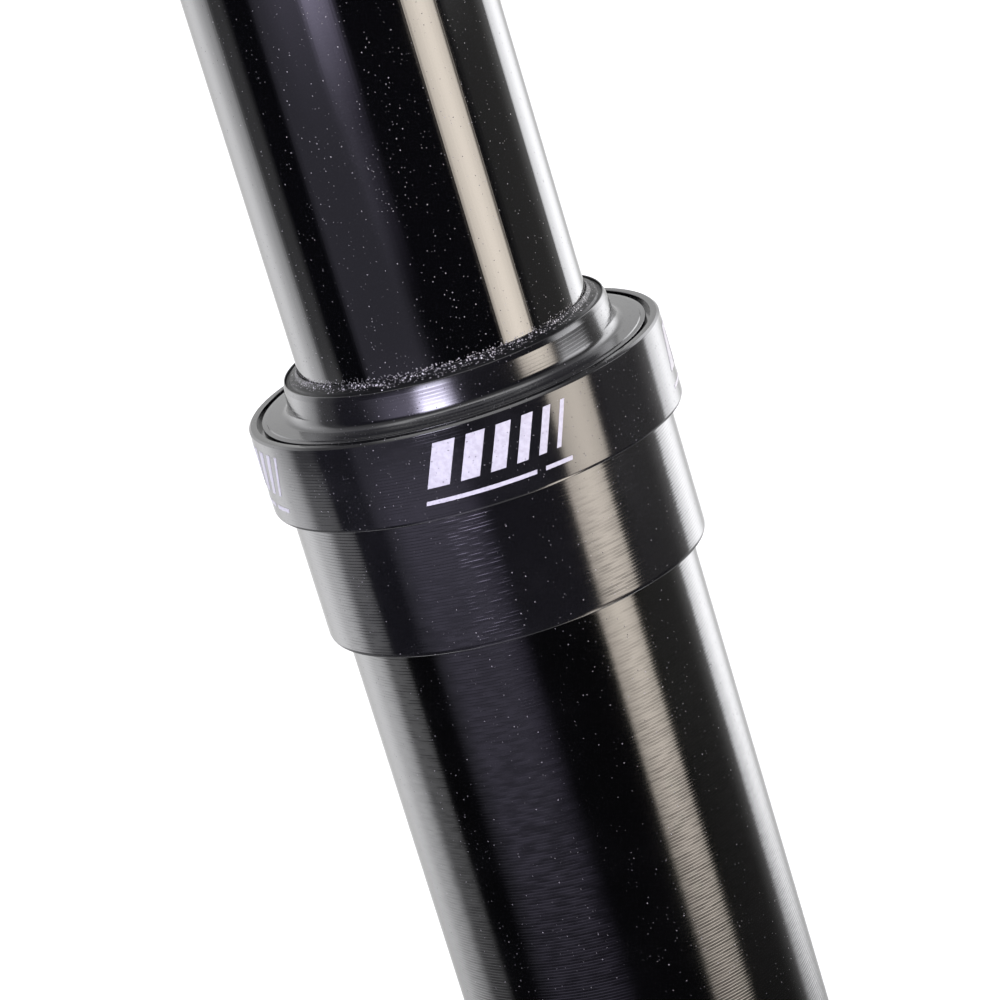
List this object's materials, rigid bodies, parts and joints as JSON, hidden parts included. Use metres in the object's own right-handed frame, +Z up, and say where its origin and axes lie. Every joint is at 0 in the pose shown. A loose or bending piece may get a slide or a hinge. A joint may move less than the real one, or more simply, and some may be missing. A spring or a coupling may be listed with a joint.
{
  "type": "suspension seatpost",
  "caption": "Telescoping coil-spring bicycle seatpost with a wiper-sealed sliding shaft, turned lock-ring collar, tilting saddle-rail clamp and preload adjuster.",
  "frame": {"origin": "on the post's axis, at the outer tube's lower end", "axes": "+Z up the post towards the saddle, +X to the front of the saddle, +Y to the rider's left"},
  "size_m": [0.068, 0.0564, 0.3645],
  "materials": {
    "tube_black": "satin black anodised, fine turned lines around the tube",
    "collar_black": "satin black anodised, turned",
    "ring_black": "satin black anodised, turned, bright edge chamfers",
    "shaft_black": "gloss black hard anodised",
    "head_black": "forged, bead-blasted, black anodised",
    "adjuster_black": "black anodised, cut thread",
    "bare_aluminium": "plain turned aluminium",
    "bolt_steel": "zinc-plated steel",
    "spring_steel": "oiled spring steel",
    "key_brass": "machined brass",
    "seal_rubber": "soft black nitrile rubber",
    "elastomer_grey": "grey polyurethane",
    "elastomer_amber": "amber polyurethane",
    "felt": "oiled grey felt",
    "bushing_plastic": "natural acetal",
    "black_plastic": "black nylon"
  },
  "bodies": {
    "outer": {"outer_tube": "tube_black", "tube_collar": "collar_black", "lock_ring": "ring_black", "wiper_cap": "ring_black", "wiper_seal": "seal_rubber", "felt_ring": "felt", "cap_o_ring": "seal_rubber", "upper_bushing": "bushing_plastic", "spacer_sleeve": "black_plastic", "top_out_bumper": "elastomer_grey"},
    "sliding_shaft": {"shaft": "shaft_black", "lower_bushing": "bushing_plastic", "guide_key_1": "key_brass", "guide_key_2": "key_brass", "guide_key_3": "key_brass", "spring_cup": "bare_aluminium", "head": "head_black", "front_half_washer": "bolt_steel", "rear_half_washer": "bolt_steel"},
    "spring_seat": {"lower_spring_seat": "black_plastic", "thrust_washer": "bolt_steel", "main_spring": "spring_steel", "elastomer_rod": "elastomer_amber"},
    "adjuster": {"preload_adjuster": "adjuster_black", "adjuster_o_ring": "seal_rubber"},
    "saddle_clamp": {"lower_clamp": "head_black", "upper_clamp": "head_black"},
    "front_nut": {"front_barrel_nut": "bolt_steel"},
    "rear_nut": {"rear_barrel_nut": "bolt_steel"},
    "front_bolt": {"front_clamp_bolt": "bolt_steel"},
    "rear_bolt": {"rear_clamp_bolt": "bolt_steel"}
  },
  "joints": [
    {"name": "travel", "type": "slide", "parent": "outer", "child": "sliding_shaft", "axis": [0, 0, -1], "range_m": [0, 0.04], "stiffness_N_per_m": 20000, "springref_m": -0.01, "deforming": ["main_spring", "elastomer_rod"]},
    {"name": "preload_slide", "type": "slide", "parent": "outer", "child": "spring_seat", "axis": [0, 0, 1], "range_m": [-0.005, 0]},
    {"name": "preload_turn", "type": "hinge", "parent": "spring_seat", "child": "adjuster", "pos_m": [0, 0, 0.012], "axis": [0, 0, 1], "range_deg": [-1200, 0]},
    {"name": "saddle_tilt", "type": "hinge", "parent": "sliding_shaft", "child": "saddle_clamp", "pos_m": [0, 0, 0.356], "axis": [0, 1, 0], "range_deg": [-10, 10]},
    {"name": "front_nut_turn", "type": "hinge", "parent": "saddle_clamp", "child": "front_nut", "pos_m": [0.025, 0, 0.356], "axis": [0, 1, 0], "range_deg": [-10, 10]},
    {"name": "rear_nut_turn", "type": "hinge", "parent": "saddle_clamp", "child": "rear_nut", "pos_m": [-0.025, 0, 0.356], "axis": [0, 1, 0], "range_deg": [-10, 10]},
    {"name": "front_bolt_turn", "type": "hinge", "parent": "sliding_shaft", "child": "front_bolt", "pos_m": [0.025, 0, 0.3205], "axis": [0, 0, 1], "range_deg": [-1600, 1600]},
    {"name": "rear_bolt_turn", "type": "hinge", "parent": "sliding_shaft", "child": "rear_bolt", "pos_m": [-0.025, 0, 0.3205], "axis": [0, 0, 1], "range_deg": [-1600, 1600]}
  ],
  "couplings": [
    {"joint": "preload_turn", "follows": "preload_slide", "rad_per_m": 4188.8},
    {"joint": "front_nut_turn", "follows": "saddle_tilt", "ratio": -1},
    {"joint": "rear_nut_turn", "follows": "saddle_tilt", "ratio": -1},
    {"joint": "front_bolt_turn", "follows": "saddle_tilt", "ratio": 157.08},
    {"joint": "rear_bolt_turn", "follows": "saddle_tilt", "ratio": -157.08}
  ]
}
